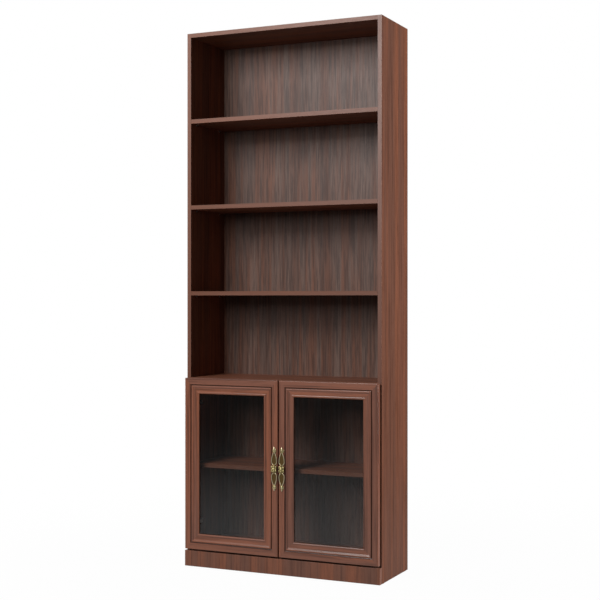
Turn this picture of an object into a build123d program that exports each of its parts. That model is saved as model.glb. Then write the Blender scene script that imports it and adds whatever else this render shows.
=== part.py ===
"""Tall bookcase: four open bays above a cupboard with two glazed doors.

Frame: +Z up, +X to the right as seen from the front, the front looks along -Y.
The origin is under the middle of the whole piece, on the floor. Millimetres.
"""

import os
from math import asin, copysign, cos, radians, sin

from build123d import *

os.makedirs("parts", exist_ok=True)

# Carcass
WIDTH = 824.0
HEIGHT = 2105.0
BOARD = 16.0
BAND = 0.5                      # edge band on every front edge
SIDE_DEPTH = 279.0              # front edge to the back board, band included
BACK_BOARD = 3.0
NAIL_HEAD = 0.6
GLIDE = 2.2
PITCH = 340.0                   # from one shelf to the next
CUPBOARD_SHELF_TOP = 405.0
SHELF_TOPS = [CUPBOARD_SHELF_TOP + PITCH * n for n in range(5)]
CUPBOARD_SET_BACK = 20.0
SHELF_REAR_GAP = 2.0
BOTTOM_UNDER = 63.0
PLINTH_TOP = 63.5
PLINTH_THICK = 20.0

# Doors
DOOR_BOTTOM = 71.0
DOOR_TOP = 743.5
DOOR_THICK = 20.0
DOOR_GAP = 6.0                  # between a closed door and the carcass
DOOR_REVEAL = 4.0               # side panel seen beside a door
MEETING_GAP = 5.0
MEMBER = 61.0                   # width of a stile or a rail
REBATE_WIDE = 9.0
REBATE_DEEP = 11.0
GLASS = 4.0
EASED = 0.6                     # eased back edge, which the hinge swings past the carcass

# Handles
HANDLE_CENTRES = 140.0
HANDLE_FROM_EDGE = 13.5
HANDLE_Z = 407.0
HANDLE_OUT = 14.0               # door face to the front of the knot

# Hinge pivots with the door shut: u runs inwards from the side panel's outer face,
# v runs forwards from the carcass front, as (u, v)
HINGE_FROM_END = 100.0
CUP_FROM_EDGE = 20.5
CUP_R = 17.45
CUP_WALL = 0.95
CUP_DEEP = 11.2
OUTER_ARM_PIVOT = (36.0, -5.2)
OUTER_CUP_PIVOT = (13.2, 7.2)
INNER_ARM_PIVOT = (25.3, 13.4)
INNER_CUP_PIVOT = (15.1, 11.3)
PLATE_V = -37.0                 # screws of the mounting plate
PIN_R = 1.2
CUP_PIN_R = 1.0
RUNNING = 0.1                   # radial clearance of pins and dowels

# Layers of a hinge, as distances from its middle plane
OUTER_LINK_Z = 3.0
CUP_LUG_Z = (3.3, 5.0)
CHEEK_Z = (5.4, 7.0)
INNER_LINK_Z = (7.4, 9.0)
INNER_PIN_END = 13.4

# Values worked out from the ones above
DEPTH = HANDLE_OUT + DOOR_THICK + DOOR_GAP + SIDE_DEPTH + BACK_BOARD + NAIL_HEAD
FRONT = -DEPTH / 2 + HANDLE_OUT + DOOR_THICK + DOOR_GAP
REAR = FRONT + SIDE_DEPTH
HALF = WIDTH / 2
INNER = HALF - BOARD
DOOR_FACE = FRONT - DOOR_GAP - DOOR_THICK
DOOR_BACK = FRONT - DOOR_GAP
DOOR_WIDE = HALF - DOOR_REVEAL - MEETING_GAP / 2
DOOR_HIGH = DOOR_TOP - DOOR_BOTTOM
HINGE_HEIGHTS = (DOOR_BOTTOM + HINGE_FROM_END, DOOR_TOP - HINGE_FROM_END)
SIDES = {"left": -1, "right": 1}

# Fixed boards: height of the underside, and the face their cams are in
FIXED_BOARDS = {
    "top_panel": (HEIGHT - BOARD, 1),
    "fixed_shelf": (SHELF_TOPS[1] - BOARD, -1),
    "bottom_panel": (BOTTOM_UNDER, -1),
}
CAM_Y = (FRONT + 50.0, FRONT + 230.0)
DOWEL_Y = (FRONT + 82.0, FRONT + 198.0)
CAM_FROM_END = 34.0
CAM_R = 7.5
CAM_DEEP = 12.6
BOLT_THREAD_R = 2.5
BOLT_SHANK_R = 3.0
BOLT_HOLE_R = 4.0
BOLT_HEAD_R = 3.5
BOLT_HEAD = 2.6
BOLT_NECK_R = 1.6
BOLT_NECK = 3.4
CAM_SLOT = (8.0, 1.4, 3.0)
CAM_THROAT_START = CAM_R + 1.0
CAM_THROAT_LONG = CAM_R + 2.0
DOWEL_R = 4.0
DOWEL_IN_SIDE = 10.5
DOWEL_IN_BOARD = 19.5
BOLT_IN_SIDE = 11.0
SPARE = 0.5                     # depth left at the end of a blind hole

# Loose shelves: name, top height, set back from the front
LOOSE_SHELVES = {
    "cupboard_shelf": (SHELF_TOPS[0], CUPBOARD_SET_BACK),
    "lower_shelf": (SHELF_TOPS[2], 0.0),
    "middle_shelf": (SHELF_TOPS[3], 0.0),
    "upper_shelf": (SHELF_TOPS[4], 0.0),
}
SHELF_PIN_Y = (FRONT + 45.0, FRONT + 235.0)
PIN_STUB_R = 2.5
PIN_STUB_LONG = 9.0
PIN_TAB = (10.0, 9.0, 2.4)        # along the side panel, out from it, thickness
PIN_COLLAR = 2.0
PIN_DROP = 4.0                  # from a shelf's underside to the stub's axis
SHELF_END_GAP = 0.5

LOW = (Align.MIN, Align.MIN, Align.MIN)
FROM_BASE = (Align.CENTER, Align.CENTER, Align.MIN)
X_AXIS = (1, 0, 0)
Y_AXIS = (0, 1, 0)
Z_AXIS = (0, 0, 1)
FORWARD = (0, -1, 0)


def save(piece, name):
    """Label a finished piece and write it."""
    piece.part.label = name
    export_step(piece.part, f"parts/{name}.step")


def slab(x, y, z):
    """Add a block between pairs of low and high faces."""
    with Locations((x[0], y[0], z[0])):
        Box(x[1] - x[0], y[1] - y[0], z[1] - z[0], align=LOW)


def rod(starts, direction, radius, length, mode=Mode.ADD):
    """Add or cut a round bar from each start point along one direction."""
    with Locations(*[Plane(origin=start, z_dir=direction) for start in starts]):
        Cylinder(radius, length, align=FROM_BASE, mode=mode)


def bore(starts, direction, radius, length):
    """Drill a round hole from each start point along one direction."""
    rod(starts, direction, radius, length, mode=Mode.SUBTRACT)


def crest_arc(crest, end):
    """Arc that leaves a crest or a hollow level with local x and runs to an end point."""
    across = end[0] - crest[0]
    drop = end[1] - crest[1]
    radius = (across**2 + drop**2) / (2 * abs(drop))
    half_turn = asin(abs(across) / radius) / 2
    middle_x = crest[0] + copysign(radius * sin(half_turn), across)
    middle_y = crest[1] + copysign(radius * (1 - cos(half_turn)), drop)
    ThreePointArc(crest, (middle_x, middle_y), end)


def flip(side):
    """Turn what was built on the left into its right-hand twin."""
    if side > 0:
        mirror(about=Plane.YZ, mode=Mode.REPLACE)


# Carcass boards

def side_panel(name, side):
    """Upright board with its holes for cams, dowels, shelf pins, hinge plates and glides."""
    outwards = (side, 0, 0)
    face = side * INNER
    edge = side * (HALF - BOARD / 2)
    middles = [under + BOARD / 2 for under, _ in FIXED_BOARDS.values()]
    pin_heights = [top - BOARD - PIN_DROP for top, _ in LOOSE_SHELVES.values()]
    plate_heights = [height + rise for height in HINGE_HEIGHTS for rise in PLATE_SCREW_Z]
    with BuildPart() as panel:
        with BuildSketch(Plane.YZ.offset(min(side * HALF, face))):
            with Locations(((FRONT + BAND + REAR) / 2, (GLIDE + HEIGHT) / 2)):
                Rectangle(SIDE_DEPTH - BAND, HEIGHT - GLIDE)
        extrude(amount=BOARD)
        bolts = [(face, y, z) for y in CAM_Y for z in middles]
        bore(bolts, outwards, BOLT_THREAD_R + RUNNING, BOLT_IN_SIDE + SPARE)
        dowels = [(face, y, z) for y in DOWEL_Y for z in middles]
        bore(dowels, outwards, DOWEL_R + RUNNING, DOWEL_IN_SIDE + SPARE)
        pins = [(face, y, z) for y in SHELF_PIN_Y for z in pin_heights]
        bore(pins, outwards, PIN_STUB_R + RUNNING, PIN_STUB_LONG + SPARE)
        plate_screws = [(face, FRONT - PLATE_V, z) for z in plate_heights]
        bore(plate_screws, outwards, PLATE_SCREW_R + RUNNING, PLATE_SCREW_LONG + SPARE)
        block_screws = [(face, PLINTH_BLOCK_MID, z) for z in PLINTH_SCREW_Z]
        bore(block_screws, outwards, BLOCK_SCREW_R + RUNNING, BLOCK_SCREW_BITE + SPARE)
        glides = [(edge, y, GLIDE) for y in GLIDE_Y]
        bore(glides, Z_AXIS, GLIDE_NAIL_R + RUNNING, GLIDE_NAIL_LONG + SPARE)
    save(panel, name)


def fixed_board(name, under, cam_face):
    """Board between the sides, bored in its ends and pocketed for its cams."""
    middle = under + BOARD / 2
    with BuildPart() as board:
        with BuildSketch(Plane.XY.offset(under)):
            with Locations((0, (FRONT + BAND + REAR) / 2)):
                Rectangle(2 * INNER, SIDE_DEPTH - BAND)
        extrude(amount=BOARD)
        pocket = under + BOARD if cam_face > 0 else under
        for side in SIDES.values():
            inwards = (-side, 0, 0)
            bolts = [(side * INNER, y, middle) for y in CAM_Y]
            bore(bolts, inwards, BOLT_HOLE_R, CAM_FROM_END)
            dowels = [(side * INNER, y, middle) for y in DOWEL_Y]
            bore(dowels, inwards, DOWEL_R + RUNNING, DOWEL_IN_BOARD + SPARE)
        cams = [(side * (INNER - CAM_FROM_END), y, pocket) for side in SIDES.values() for y in CAM_Y]
        bore(cams, (0, 0, -cam_face), CAM_R + RUNNING, CAM_DEEP + SPARE)
    save(board, name)


def loose_shelf(name, top, set_back):
    """Shelf that rests on four pins."""
    with BuildPart() as board:
        with BuildSketch(Plane.XY.offset(top - BOARD)):
            with Locations((0, (FRONT + set_back + BAND + REAR - SHELF_REAR_GAP) / 2)):
                Rectangle(2 * (INNER - SHELF_END_GAP), SIDE_DEPTH - SHELF_REAR_GAP - set_back - BAND)
        extrude(amount=BOARD)
    save(board, name)


def edge_bands():
    """Thin bands on the front edges of the sides and of the boards between them."""
    with BuildPart() as side_bands:
        for side in SIDES.values():
            across = sorted((side * HALF, side * INNER))
            slab(across, (FRONT, FRONT + BAND), (GLIDE, HEIGHT))
    save(side_bands, "side_edge_bands")
    with BuildPart() as shelf_bands:
        for under, _ in FIXED_BOARDS.values():
            slab((-INNER, INNER), (FRONT, FRONT + BAND), (under, under + BOARD))
        for top, set_back in LOOSE_SHELVES.values():
            reach = INNER - SHELF_END_GAP
            slab((-reach, reach), (FRONT + set_back, FRONT + set_back + BAND), (top - BOARD, top))
    save(shelf_bands, "shelf_edge_bands")


# Back board and its nails
BACK_INSET = 2.0
BACK_BOTTOM = BOTTOM_UNDER + 1.0
NAIL_R = 0.7
NAIL_HEAD_R = 1.7
NAIL_LONG = 18.0
NAILS_UP = 9
NAILS_ACROSS = 3


def back_board():
    """Thin sheet over the rear edges, held by rows of flat-headed nails."""
    with BuildPart() as sheet:
        with BuildSketch(Plane.XZ.offset(-REAR)):
            with Locations((0, (BACK_BOTTOM + HEIGHT - BACK_INSET) / 2)):
                Rectangle(WIDTH - 2 * BACK_INSET, HEIGHT - BACK_INSET - BACK_BOTTOM)
        extrude(amount=-BACK_BOARD)
    save(sheet, "back_panel")
    spacing = (HEIGHT - BOTTOM_UNDER - BOARD) / (NAILS_UP - 1)
    first = BOTTOM_UNDER + BOARD / 2
    side_rows = [side * (HALF - BOARD / 2) for side in SIDES.values()]
    rows = [(x, first + spacing * n) for x in side_rows for n in range(NAILS_UP)]
    step = 2 * INNER / (NAILS_ACROSS + 1)
    for under, _ in FIXED_BOARDS.values():
        rows += [(step * (n + 1) - INNER, under + BOARD / 2) for n in range(NAILS_ACROSS)]
    outer = REAR + BACK_BOARD
    with BuildPart() as nails:
        rod([(x, outer + NAIL_HEAD, z) for x, z in rows], FORWARD, NAIL_HEAD_R, NAIL_HEAD)
        rod([(x, outer, z) for x, z in rows], FORWARD, NAIL_R, NAIL_LONG)
    save(nails, "back_panel_nails")


# Plinth and feet
PLINTH_BLOCK = (22.0, 22.0, 40.0)
PLINTH_BLOCK_LOW = 10.0
PLINTH_SCREW_Z = (PLINTH_BLOCK_LOW + 10.0, PLINTH_BLOCK_LOW + 30.0)
PLINTH_BLOCK_MID = FRONT + PLINTH_BLOCK[1] / 2
BLOCK_SCREW_R = 1.9
BLOCK_SCREW_HEAD_R = 3.6
BLOCK_SCREW_HEAD = 2.2
BLOCK_SCREW_BITE = 10.0
BLOCK_SCREW_STEP = 5.0           # front screws stand higher, clear of the side screws
PLINTH_ROUND = 1.0
GLIDE_R = 7.0
GLIDE_CHAMFER = 0.8
GLIDE_NAIL_R = 1.2
GLIDE_NAIL_LONG = 15.0
GLIDE_Y = (FRONT + 25.0, REAR - 25.0)


def plinth():
    """Plinth board across the front, the corner blocks that hold it and their screws."""
    wide, deep, high = PLINTH_BLOCK
    front_heights = [z + BLOCK_SCREW_STEP for z in PLINTH_SCREW_Z]
    front_screws = [(side * (INNER - wide / 2), FRONT, z) for side in SIDES.values() for z in front_heights]
    with BuildPart() as board:
        with BuildSketch(Plane.XZ.offset(-FRONT)):
            with Locations((0, (GLIDE + PLINTH_TOP) / 2)):
                Rectangle(WIDTH, PLINTH_TOP - GLIDE)
        extrude(amount=PLINTH_THICK)
        fillet(board.faces().sort_by(Axis.Y)[0].edges(), PLINTH_ROUND)
        bore(front_screws, FORWARD, BLOCK_SCREW_R + RUNNING, BLOCK_SCREW_BITE + SPARE)
    save(board, "plinth_board")
    with BuildPart() as blocks:
        for side in SIDES.values():
            across = sorted((side * INNER, side * (INNER - wide)))
            slab(across, (FRONT, FRONT + deep), (PLINTH_BLOCK_LOW, PLINTH_BLOCK_LOW + high))
            side_screws = [(side * INNER, PLINTH_BLOCK_MID, z) for z in PLINTH_SCREW_Z]
            bore(side_screws, (-side, 0, 0), BLOCK_SCREW_R + RUNNING, wide)
        bore(front_screws, Y_AXIS, BLOCK_SCREW_R + RUNNING, deep)
    save(blocks, "plinth_corner_blocks")
    with BuildPart() as screws:
        heads = [(x, FRONT + deep, z) for x, _, z in front_screws]
        rod(heads, FORWARD, BLOCK_SCREW_R, deep + BLOCK_SCREW_BITE)
        rod(heads, Y_AXIS, BLOCK_SCREW_HEAD_R, BLOCK_SCREW_HEAD)
        for side in SIDES.values():
            heads = [(side * (INNER - wide), PLINTH_BLOCK_MID, z) for z in PLINTH_SCREW_Z]
            rod(heads, (side, 0, 0), BLOCK_SCREW_R, wide + BLOCK_SCREW_BITE)
            rod(heads, (-side, 0, 0), BLOCK_SCREW_HEAD_R, BLOCK_SCREW_HEAD)
    save(screws, "plinth_block_screws")


def floor_glides():
    """Nail-on glides under both side panels."""
    feet = [(side * (HALF - BOARD / 2), y, 0) for side in SIDES.values() for y in GLIDE_Y]
    with BuildPart() as glides:
        rod(feet, Z_AXIS, GLIDE_R, GLIDE)
        rod(feet, Z_AXIS, GLIDE_NAIL_R, GLIDE + GLIDE_NAIL_LONG)
        chamfer(glides.faces().filter_by(Plane.XY).group_by(Axis.Z)[0].edges(), GLIDE_CHAMFER)
    save(glides, "floor_glides")


# Carcass fittings

def carcass_fittings():
    """Dowels, cam bolts and cam locks of the fixed boards."""
    middles = [under + BOARD / 2 for under, _ in FIXED_BOARDS.values()]
    with BuildPart() as dowels:
        for side in SIDES.values():
            outer_ends = [(side * (INNER + DOWEL_IN_SIDE), y, z) for y in DOWEL_Y for z in middles]
            rod(outer_ends, (-side, 0, 0), DOWEL_R, DOWEL_IN_SIDE + DOWEL_IN_BOARD)
    save(dowels, "carcass_dowels")
    with BuildPart() as bolts:
        for side in SIDES.values():
            inwards = (-side, 0, 0)
            shoulder = INNER - CAM_FROM_END + BOLT_NECK + BOLT_HEAD
            spots = [(y, z) for y in CAM_Y for z in middles]
            rod([(side * INNER, *spot) for spot in spots], (side, 0, 0), BOLT_THREAD_R, BOLT_IN_SIDE)
            rod([(side * INNER, *spot) for spot in spots], inwards, BOLT_SHANK_R, INNER - shoulder)
            rod([(side * shoulder, *spot) for spot in spots], inwards, BOLT_NECK_R, BOLT_NECK)
            rod([(side * (shoulder - BOLT_NECK), *spot) for spot in spots], inwards, BOLT_HEAD_R, BOLT_HEAD)
    save(bolts, "cam_bolts")
    with BuildPart() as cams:
        for under, face in FIXED_BOARDS.values():
            mouth = under + BOARD if face > 0 else under
            for side in SIDES.values():
                centres = [(side * (INNER - CAM_FROM_END), y, mouth) for y in CAM_Y]
                throat_x = side * (INNER - CAM_FROM_END + CAM_THROAT_START)
                throats = [(throat_x, y, under + BOARD / 2) for y in CAM_Y]
                rod(centres, (0, 0, -face), CAM_R, CAM_DEEP)
                bore(throats, (-side, 0, 0), BOLT_HEAD_R + 2 * RUNNING, CAM_THROAT_LONG)
                with Locations(*centres):
                    Box(CAM_SLOT[0], CAM_SLOT[1], CAM_SLOT[2], mode=Mode.SUBTRACT)
                    Box(CAM_SLOT[1], CAM_SLOT[0], CAM_SLOT[2], mode=Mode.SUBTRACT)
    save(cams, "cam_locks")


def shelf_pins():
    """Plug-in pins with a flat tab under each loose shelf."""
    along, out, thick = PIN_TAB
    unders = [top - BOARD for top, _ in LOOSE_SHELVES.values()]
    with BuildPart() as pins:
        for side in SIDES.values():
            roots = [(side * INNER, y, under - PIN_DROP) for y in SHELF_PIN_Y for under in unders]
            rod(roots, (side, 0, 0), PIN_STUB_R, PIN_STUB_LONG)
            rod(roots, (-side, 0, 0), PIN_DROP, PIN_COLLAR)
            tabs = [(side * (INNER - out / 2), y, under - thick / 2) for y in SHELF_PIN_Y for under in unders]
            with Locations(*tabs):
                Box(out, along, thick)
    save(pins, "shelf_pins")


# Door frames
LAND_END = 24.2                 # flat outer land of a member, then the groove
GROOVE_SIDE = (25.0, DOOR_THICK - 2.9)
GROOVE_LOW = (27.2, DOOR_THICK - 4.2)
BEAD_START = (28.6, DOOR_THICK - 1.8)
BEAD_CREST = (31.2, DOOR_THICK - 0.3)
BEAD_END = (36.5, DOOR_THICK - 2.5)
FIELD_START = (40.4, DOOR_THICK - 4.1)          # level field between the bead and the lip
LIP_START = (52.4, DOOR_THICK - 4.1)
LIP_CREST = (56.4, DOOR_THICK - 2.8)
LIP_END = (60.0, DOOR_THICK - 4.6)
EDGE_ROUND = 2.0
GLASS_GAP = 1.0                 # pane to the side of the rebate
GASKET_DEEP = 2.2
GASKET_GAP = 0.3
GASKET_SIGHT = 1.0              # gasket hidden behind the lip
GASKET_BEVEL = 1.2
CORNER_DOWEL_R = 3.0
CORNER_DOWEL_LONG = 30.0
CORNER_DOWELS = ((13.0, 9.0), (39.0, 7.0))      # along the mitre from the corner, from the back
BUMPER_R = 3.2
BUMPER_THICK = DOOR_GAP - 0.5
BUMPER_FROM_EDGE = 30.0
BUMPER_HEIGHTS = (DOOR_TOP - 8.0, DOOR_BOTTOM + 4.0)


def member_profile():
    """Moulded section of a stile or rail: local x from the outer edge, local y from the back."""
    back = MEMBER - REBATE_WIDE
    turn = EDGE_ROUND * (1 - cos(radians(45)))
    with BuildSketch() as profile:
        with BuildLine():
            Polyline((back, REBATE_DEEP), (back, 0), (EASED, 0), (0, EASED), (0, DOOR_THICK - EDGE_ROUND))
            ThreePointArc((0, DOOR_THICK - EDGE_ROUND), (turn, DOOR_THICK - turn), (EDGE_ROUND, DOOR_THICK))
            Line((EDGE_ROUND, DOOR_THICK), (LAND_END, DOOR_THICK))
            ThreePointArc((LAND_END, DOOR_THICK), GROOVE_SIDE, GROOVE_LOW)
            Line(GROOVE_LOW, BEAD_START)
            crest_arc(BEAD_CREST, BEAD_START)
            crest_arc(BEAD_CREST, BEAD_END)
            crest_arc(FIELD_START, BEAD_END)
            Line(FIELD_START, LIP_START)
            ThreePointArc(LIP_START, LIP_CREST, LIP_END)
            Polyline(LIP_END, (MEMBER, LIP_END[1] - 1), (MEMBER, REBATE_DEEP), (back, REBATE_DEEP))
        make_face()
    return profile.sketch


def door_corners():
    """Left door's corners: the inward and running directions and length of the member that starts at each."""
    low_x = -HALF + DOOR_REVEAL
    high_x = low_x + DOOR_WIDE
    return {
        "bottom_rail": ((low_x, DOOR_BACK, DOOR_BOTTOM), (0, 0, 1), (1, 0, 0), DOOR_WIDE),
        "handle_stile": ((high_x, DOOR_BACK, DOOR_BOTTOM), (-1, 0, 0), (0, 0, 1), DOOR_HIGH),
        "top_rail": ((high_x, DOOR_BACK, DOOR_TOP), (0, 0, -1), (-1, 0, 0), DOOR_WIDE),
        "hinge_stile": ((low_x, DOOR_BACK, DOOR_TOP), (1, 0, 0), (0, 0, -1), DOOR_HIGH),
    }


def mitre_dowels():
    """Start point and direction of every dowel across a mitre of the left door."""
    places = []
    for corner, inward, along, _ in door_corners().values():
        into = (Vector(*along) - Vector(*inward)).normalized()
        for across, deep in CORNER_DOWELS:
            middle = Vector(*corner) + (Vector(*inward) + Vector(*along)) * across + Vector(0, -deep, 0)
            places.append((middle, into))
    return places


def handle_points():
    """Screw positions of the left handle on the door's face."""
    x = -MEETING_GAP / 2 - HANDLE_FROM_EDGE
    return [(x, HANDLE_Z + end * HANDLE_CENTRES / 2) for end in (-1, 1)]


def door_member(hand, side, member):
    """One mitred, moulded member of a door frame, with its dowel, hinge or handle holes."""
    corner, inward, along, length = door_corners()[member]
    lie = Plane(origin=corner, x_dir=inward, z_dir=along)
    with BuildPart() as piece:
        with BuildSketch(lie):
            add(member_profile())
        extrude(amount=length)
        start = Vector(*along) - Vector(*inward)
        finish = Vector(*along) * -1 - Vector(*inward)
        split(bisect_by=Plane(origin=corner, z_dir=start), keep=Keep.TOP)
        split(bisect_by=Plane(origin=Vector(*corner) + Vector(*along) * length, z_dir=finish), keep=Keep.TOP)
        half = CORNER_DOWEL_LONG / 2 + SPARE
        for middle, into in mitre_dowels():
            bore([middle - into * half], into, CORNER_DOWEL_R + RUNNING, 2 * half)
        if member == "hinge_stile":
            seats = [(CUP_X, DOOR_BACK, height) for height in HINGE_HEIGHTS]
            bore(seats, FORWARD, CUP_R + RUNNING / 2, CUP_DEEP + RUNNING)
            pilots = [(CUP_SCREW_X, DOOR_BACK, height + rise)
                      for height in HINGE_HEIGHTS for rise in CUP_SCREW_Z]
            bore(pilots, FORWARD, CUP_SCREW_R + RUNNING, CUP_SCREW_LONG)
        if member == "handle_stile":
            holes = [(x, DOOR_BACK, z) for x, z in handle_points()]
            bore(holes, FORWARD, HANDLE_SCREW_R + 3 * RUNNING, DOOR_THICK)
        flip(side)
    save(piece, f"{hand}_door_{member}")


def door_glazing(hand, side):
    """Pane and the soft gasket that holds it in the rear rebate."""
    low_x = -HALF + DOOR_REVEAL
    middle = (low_x + DOOR_WIDE / 2, (DOOR_BOTTOM + DOOR_TOP) / 2)
    edge = MEMBER - REBATE_WIDE
    outer = edge + GASKET_GAP
    sight = MEMBER - GASKET_SIGHT
    face = Plane.XZ.offset(-DOOR_BACK + REBATE_DEEP)
    with BuildPart() as pane:
        with BuildSketch(face):
            with Locations(middle):
                Rectangle(DOOR_WIDE - 2 * (edge + GLASS_GAP), DOOR_HIGH - 2 * (edge + GLASS_GAP))
        extrude(amount=-GLASS)
        flip(side)
    save(pane, f"{hand}_door_glass")
    with BuildPart() as gasket:
        with BuildSketch(face.offset(-GLASS)):
            with Locations(middle):
                Rectangle(DOOR_WIDE - 2 * outer, DOOR_HIGH - 2 * outer)
                Rectangle(DOOR_WIDE - 2 * sight, DOOR_HIGH - 2 * sight, mode=Mode.SUBTRACT)
        extrude(amount=-GASKET_DEEP)
        inner_rim = gasket.faces().sort_by(Axis.Y)[-1].inner_wires().edges()
        chamfer(inner_rim, GASKET_BEVEL)
        flip(side)
    save(gasket, f"{hand}_door_glazing_gasket")


def door_small_parts(hand, side):
    """Mitre dowels and the soft bumpers on the back of a door."""
    with BuildPart() as dowels:
        for middle, into in mitre_dowels():
            rod([middle - into * (CORNER_DOWEL_LONG / 2)], into, CORNER_DOWEL_R, CORNER_DOWEL_LONG)
        flip(side)
    save(dowels, f"{hand}_door_corner_dowels")
    with BuildPart() as bumpers:
        spots = [(-MEETING_GAP / 2 - BUMPER_FROM_EDGE, DOOR_BACK, z) for z in BUMPER_HEIGHTS]
        rod(spots, Y_AXIS, BUMPER_R, BUMPER_THICK)
        chamfer(bumpers.faces().sort_by(Axis.Y)[-2:].edges(), BUMPER_THICK / 3)
        flip(side)
    save(bumpers, f"{hand}_door_bumpers")


# Handles: along a handle from its middle, heights from the door's face
HANDLE_SCREW_R = 1.9
HANDLE_SCREW_HEAD_R = 4.0
HANDLE_SCREW_HEAD = 2.4
HANDLE_BITE = 4.2
ROSETTE_R = 9.0                 # profiles below: from the rosette's axis, from the door
ROSETTE_TOP = 7.4
ROSETTE_RIM = ((ROSETTE_R, 1.2), (ROSETTE_R - 0.5, 2.6), (ROSETTE_R - 1.7, 3.2))
ROSETTE_DOME = (6.4, 2.8)
DIMPLE_R = 2.2
DIMPLE_DEEP = 1.8
TIP_R = 4.2
TIP_END_R = 1.0
TIP_REACH = 14.5                # pointed tip beyond the middle of a rosette
TIP_RISE = 2.4
TIP_ROOT = 6.5
LOOP_START = 66.0               # under the rosette's dome
LOOP_WIDEST = (28.0, 10.8)
LOOP_END = (15.0, 2.0)
LOOP_RISE = 2.9
WIRE_R = 2.0
WEB = 1.6                       # floor of the casting inside a loop
STEM_R = 3.2
STEM_RISE = 4.5
STEM_LONG = 16.5
KNOT_R = 7.5
LOBE_R = 4.3
LOBE_LONG = 4.4                 # straight stretch of a lobe
LOBE_SPOT = (8.0, 4.2, 6.0)     # lower end of that stretch: across, along, from the door
BEAD_R = 4.0
BEAD_SPOT = (8.8, 8.2)          # along, from the door


def loop_half(across):
    """Half of a teardrop loop: local x along the handle, local y across it."""
    widest = (LOOP_WIDEST[0], across * LOOP_WIDEST[1])
    crest_arc(widest, (LOOP_START, 0))
    crest_arc(widest, (LOOP_END[0], across * LOOP_END[1]))


def rosette(foot):
    """Domed boss over a screw, with a dimple, a rolled rim and a pointed tip."""
    with BuildPart() as boss:
        with BuildSketch(Plane(origin=foot, x_dir=X_AXIS, z_dir=(0, 0, -1))):
            with BuildLine():
                Polyline((0, ROSETTE_TOP), (0, 0), (ROSETTE_R, 0), ROSETTE_RIM[0])
                ThreePointArc(*ROSETTE_RIM)
                Line(ROSETTE_RIM[-1], ROSETTE_DOME)
                crest_arc((0, ROSETTE_TOP), ROSETTE_DOME)
            make_face()
        revolve(axis=Axis(foot, FORWARD))
        for up, radius in ((TIP_ROOT, TIP_R), (TIP_REACH, TIP_END_R)):
            with BuildSketch(Plane(origin=foot + Vector(0, -TIP_RISE, up), z_dir=Z_AXIS)):
                Circle(radius)
        loft()
        bore([foot + Vector(0, -ROSETTE_TOP, 0)], Y_AXIS, DIMPLE_R, DIMPLE_DEEP)
    return boss.part


def knot(middle):
    """Upper half of the knot: its stem, two side lobes and a bead."""
    rod([middle + Vector(0, -STEM_RISE, 0)], Z_AXIS, STEM_R, STEM_LONG)
    across, along, out = LOBE_SPOT
    for side in (-1, 1):
        low = middle + Vector(side * across, -out, along)
        rod([low], Z_AXIS, LOBE_R, LOBE_LONG)
        with Locations(low, low + Vector(0, 0, LOBE_LONG)):
            Sphere(LOBE_R)
    with Locations(middle + Vector(0, -BEAD_SPOT[1], BEAD_SPOT[0])):
        Sphere(BEAD_R)


def handle(hand, side):
    """Cast pull, nearly flat: two rosettes, two teardrop loops on a thin web and a raised knot."""
    screw_spots = handle_points()
    middle = Vector(screw_spots[0][0], DOOR_FACE, HANDLE_Z)
    lie = Plane(origin=middle, x_dir=Z_AXIS, z_dir=FORWARD)
    with BuildPart() as pull:
        add(rosette(middle + Vector(0, 0, HANDLE_CENTRES / 2)))
        with BuildSketch(lie):
            with BuildLine():
                loop_half(-1)
                loop_half(1)
                Line((LOOP_END[0], -LOOP_END[1]), LOOP_END)
            make_face()
        extrude(amount=WEB)
        for across in (-1, 1):
            with BuildLine(lie.offset(LOOP_RISE)) as path:
                loop_half(across)
            loop = path.wire()
            with BuildSketch(Plane(origin=loop @ 0, z_dir=loop % 0)):
                Circle(WIRE_R)
            sweep(path=loop)
        knot(middle)
        mirror(about=Plane(origin=middle, z_dir=Z_AXIS))
        with Locations(middle + Vector(0, KNOT_R - HANDLE_OUT, 0)):
            Sphere(KNOT_R)
        split(bisect_by=Plane(origin=middle, z_dir=FORWARD), keep=Keep.TOP)
        sockets = [(x, DOOR_FACE, z) for x, z in screw_spots]
        bore(sockets, FORWARD, HANDLE_SCREW_R + RUNNING, HANDLE_BITE + SPARE)
        flip(side)
    save(pull, f"{hand}_door_handle")
    with BuildPart() as screws:
        heads = [(x, DOOR_BACK, z) for x, z in screw_spots]
        rod(heads, FORWARD, HANDLE_SCREW_R, DOOR_THICK + HANDLE_BITE)
        rod(heads, Y_AXIS, HANDLE_SCREW_HEAD_R, HANDLE_SCREW_HEAD)
        fillet(screws.faces().sort_by(Axis.Y)[-2:].edges(), HANDLE_SCREW_HEAD / 2)
        flip(side)
    save(screws, f"{hand}_door_handle_screws")


# Concealed hinges
CUP_X = -HALF + DOOR_REVEAL + CUP_FROM_EDGE
CUP_SCREW_X = CUP_X + 6.0
CUP_SCREW_Z = (-24.0, 24.0)
CUP_SCREW_R = 1.7
CUP_SCREW_LONG = 9.0
CUP_SCREW_HEAD_R = 3.2
CUP_SCREW_HEAD = 1.4
CUP_FLANGE = 1.2
CUP_FLANGE_WIDE = 25.0
CUP_FLANGE_HIGH = 60.0
CUP_FLANGE_ROUND = 6.0
CUP_FLANGE_SHIFT = 2.0
CUP_FLOOR = 0.8
LUG_SEAT = 0.2                  # lug's root inside the cup's wall
CUP_PIN_FLOAT = 1.4             # play of the inner link's stub in the cup's wall
PLATE_SCREW_Z = (-16.0, 16.0)
PLATE_SCREW_R = 1.9
PLATE_SCREW_LONG = 12.0
PLATE_WING = 2.2
PLATE_RISE = 14.0
ARM_TOP = 21.0                  # arm's outer face above the side panel's inner face
ARM_REAR_V = -62.0
WEB_REAR_V = -60.0
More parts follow.
